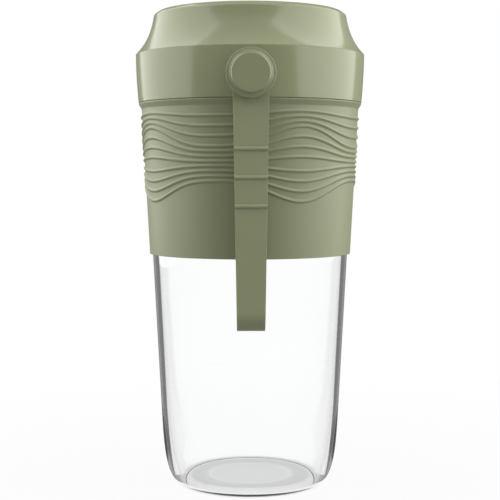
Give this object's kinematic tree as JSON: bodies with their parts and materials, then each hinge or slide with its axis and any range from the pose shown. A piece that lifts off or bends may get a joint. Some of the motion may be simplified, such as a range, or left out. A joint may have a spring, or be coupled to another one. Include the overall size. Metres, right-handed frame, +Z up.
{
  "type": "portable tumbler blender",
  "caption": "Cordless tumbler blender: a ribbed motor head locks onto a clear cup, with a front push button, a hanging carry loop, steel blades and a covered charging port.",
  "frame": {"origin": "centre of the cup's foot ring, on the surface that it stands on", "axes": "+Z up along the cup's axis, -Y towards the front, where the button and the carry loop are, +X to the right as seen from the front"},
  "size_m": [0.09, 0.0983, 0.1867],
  "materials": {
    "green_shell": "semi-gloss moulded plastic",
    "green_grip": "satin moulded plastic",
    "green_silicone": "matte silicone",
    "clear_cup": "clear polished plastic",
    "seal_silicone": "translucent white silicone",
    "inner_plastic": "moulded plastic",
    "blade_steel": "ground stainless steel",
    "motor_steel": "plated steel",
    "magnet_ferrite": "sintered ferrite",
    "bush_bronze": "sintered bronze",
    "cell_wrap": "shrink wrap over a metal can",
    "board_laminate": "glass laminate",
    "chip_black": "moulded epoxy",
    "nickel_strip": "nickel strip",
    "lead_sleeve": "wire insulation"
  },
  "bodies": {
    "cup": {"cup": "clear_cup"},
    "seal": {"cup_seal": "seal_silicone"},
    "head": {"grip_sleeve": "green_grip", "band_housing": "green_shell", "top_cap": "green_shell", "strap_bezel": "green_shell", "bezel_nut": "inner_plastic", "motor_deck": "inner_plastic", "shaft_seal": "seal_silicone", "deck_bearing": "motor_steel", "motor_can": "motor_steel", "motor_magnets": "magnet_ferrite", "motor_end_cap": "inner_plastic", "motor_bush": "bush_bronze", "motor_brushes": "magnet_ferrite", "motor_terminals": "bush_bronze", "battery_cell_left": "cell_wrap", "battery_cell_right": "cell_wrap", "battery_links": "nickel_strip", "upper_frame": "inner_plastic", "frame_screws": "motor_steel", "housing_screws": "motor_steel", "charge_screws": "motor_steel", "control_board": "board_laminate", "board_chips": "chip_black", "tact_switch": "chip_black", "charge_board": "board_laminate", "usb_socket": "nickel_strip", "port_cover_pin": "motor_steel", "motor_leads": "lead_sleeve"},
    "blades": {"drive_shaft": "blade_steel", "rotor": "motor_steel", "blade_hub": "blade_steel", "upper_blade": "blade_steel", "lower_blade": "blade_steel", "blade_nut": "blade_steel"},
    "button": {"power_button": "green_shell", "button_clip": "motor_steel", "switch_plunger": "chip_black"},
    "strap": {"carry_strap": "green_silicone"},
    "cover": {"port_cover": "green_silicone"}
  },
  "joints": [
    {"name": "head_lift", "type": "slide", "parent": "cup", "child": "seal", "axis": [0, 0, 1], "range_m": [0, 0.06]},
    {"name": "head_twist", "type": "hinge", "parent": "seal", "child": "head", "pos_m": [0, 0, 0.1129], "axis": [0, 0, 1], "range_deg": [-44.5, 0]},
    {"name": "blade_spin", "type": "hinge", "parent": "head", "child": "blades", "pos_m": [0, 0, 0.1109], "axis": [0, 0, 1], "continuous": true},
    {"name": "button_press", "type": "slide", "parent": "head", "child": "button", "axis": [0, 1, 0], "range_m": [0, 0.001], "stiffness_N_per_m": 1500, "springref_m": -0.0005},
    {"name": "strap_swing", "type": "hinge", "parent": "head", "child": "strap", "pos_m": [0, -0.0469, 0.15935], "axis": [0, 1, 0], "continuous": true},
    {"name": "port_cover_swing", "type": "hinge", "parent": "head", "child": "cover", "pos_m": [0, 0.04245, 0.15625], "axis": [-1, 0, 0], "range_deg": [0, 90]}
  ]
}
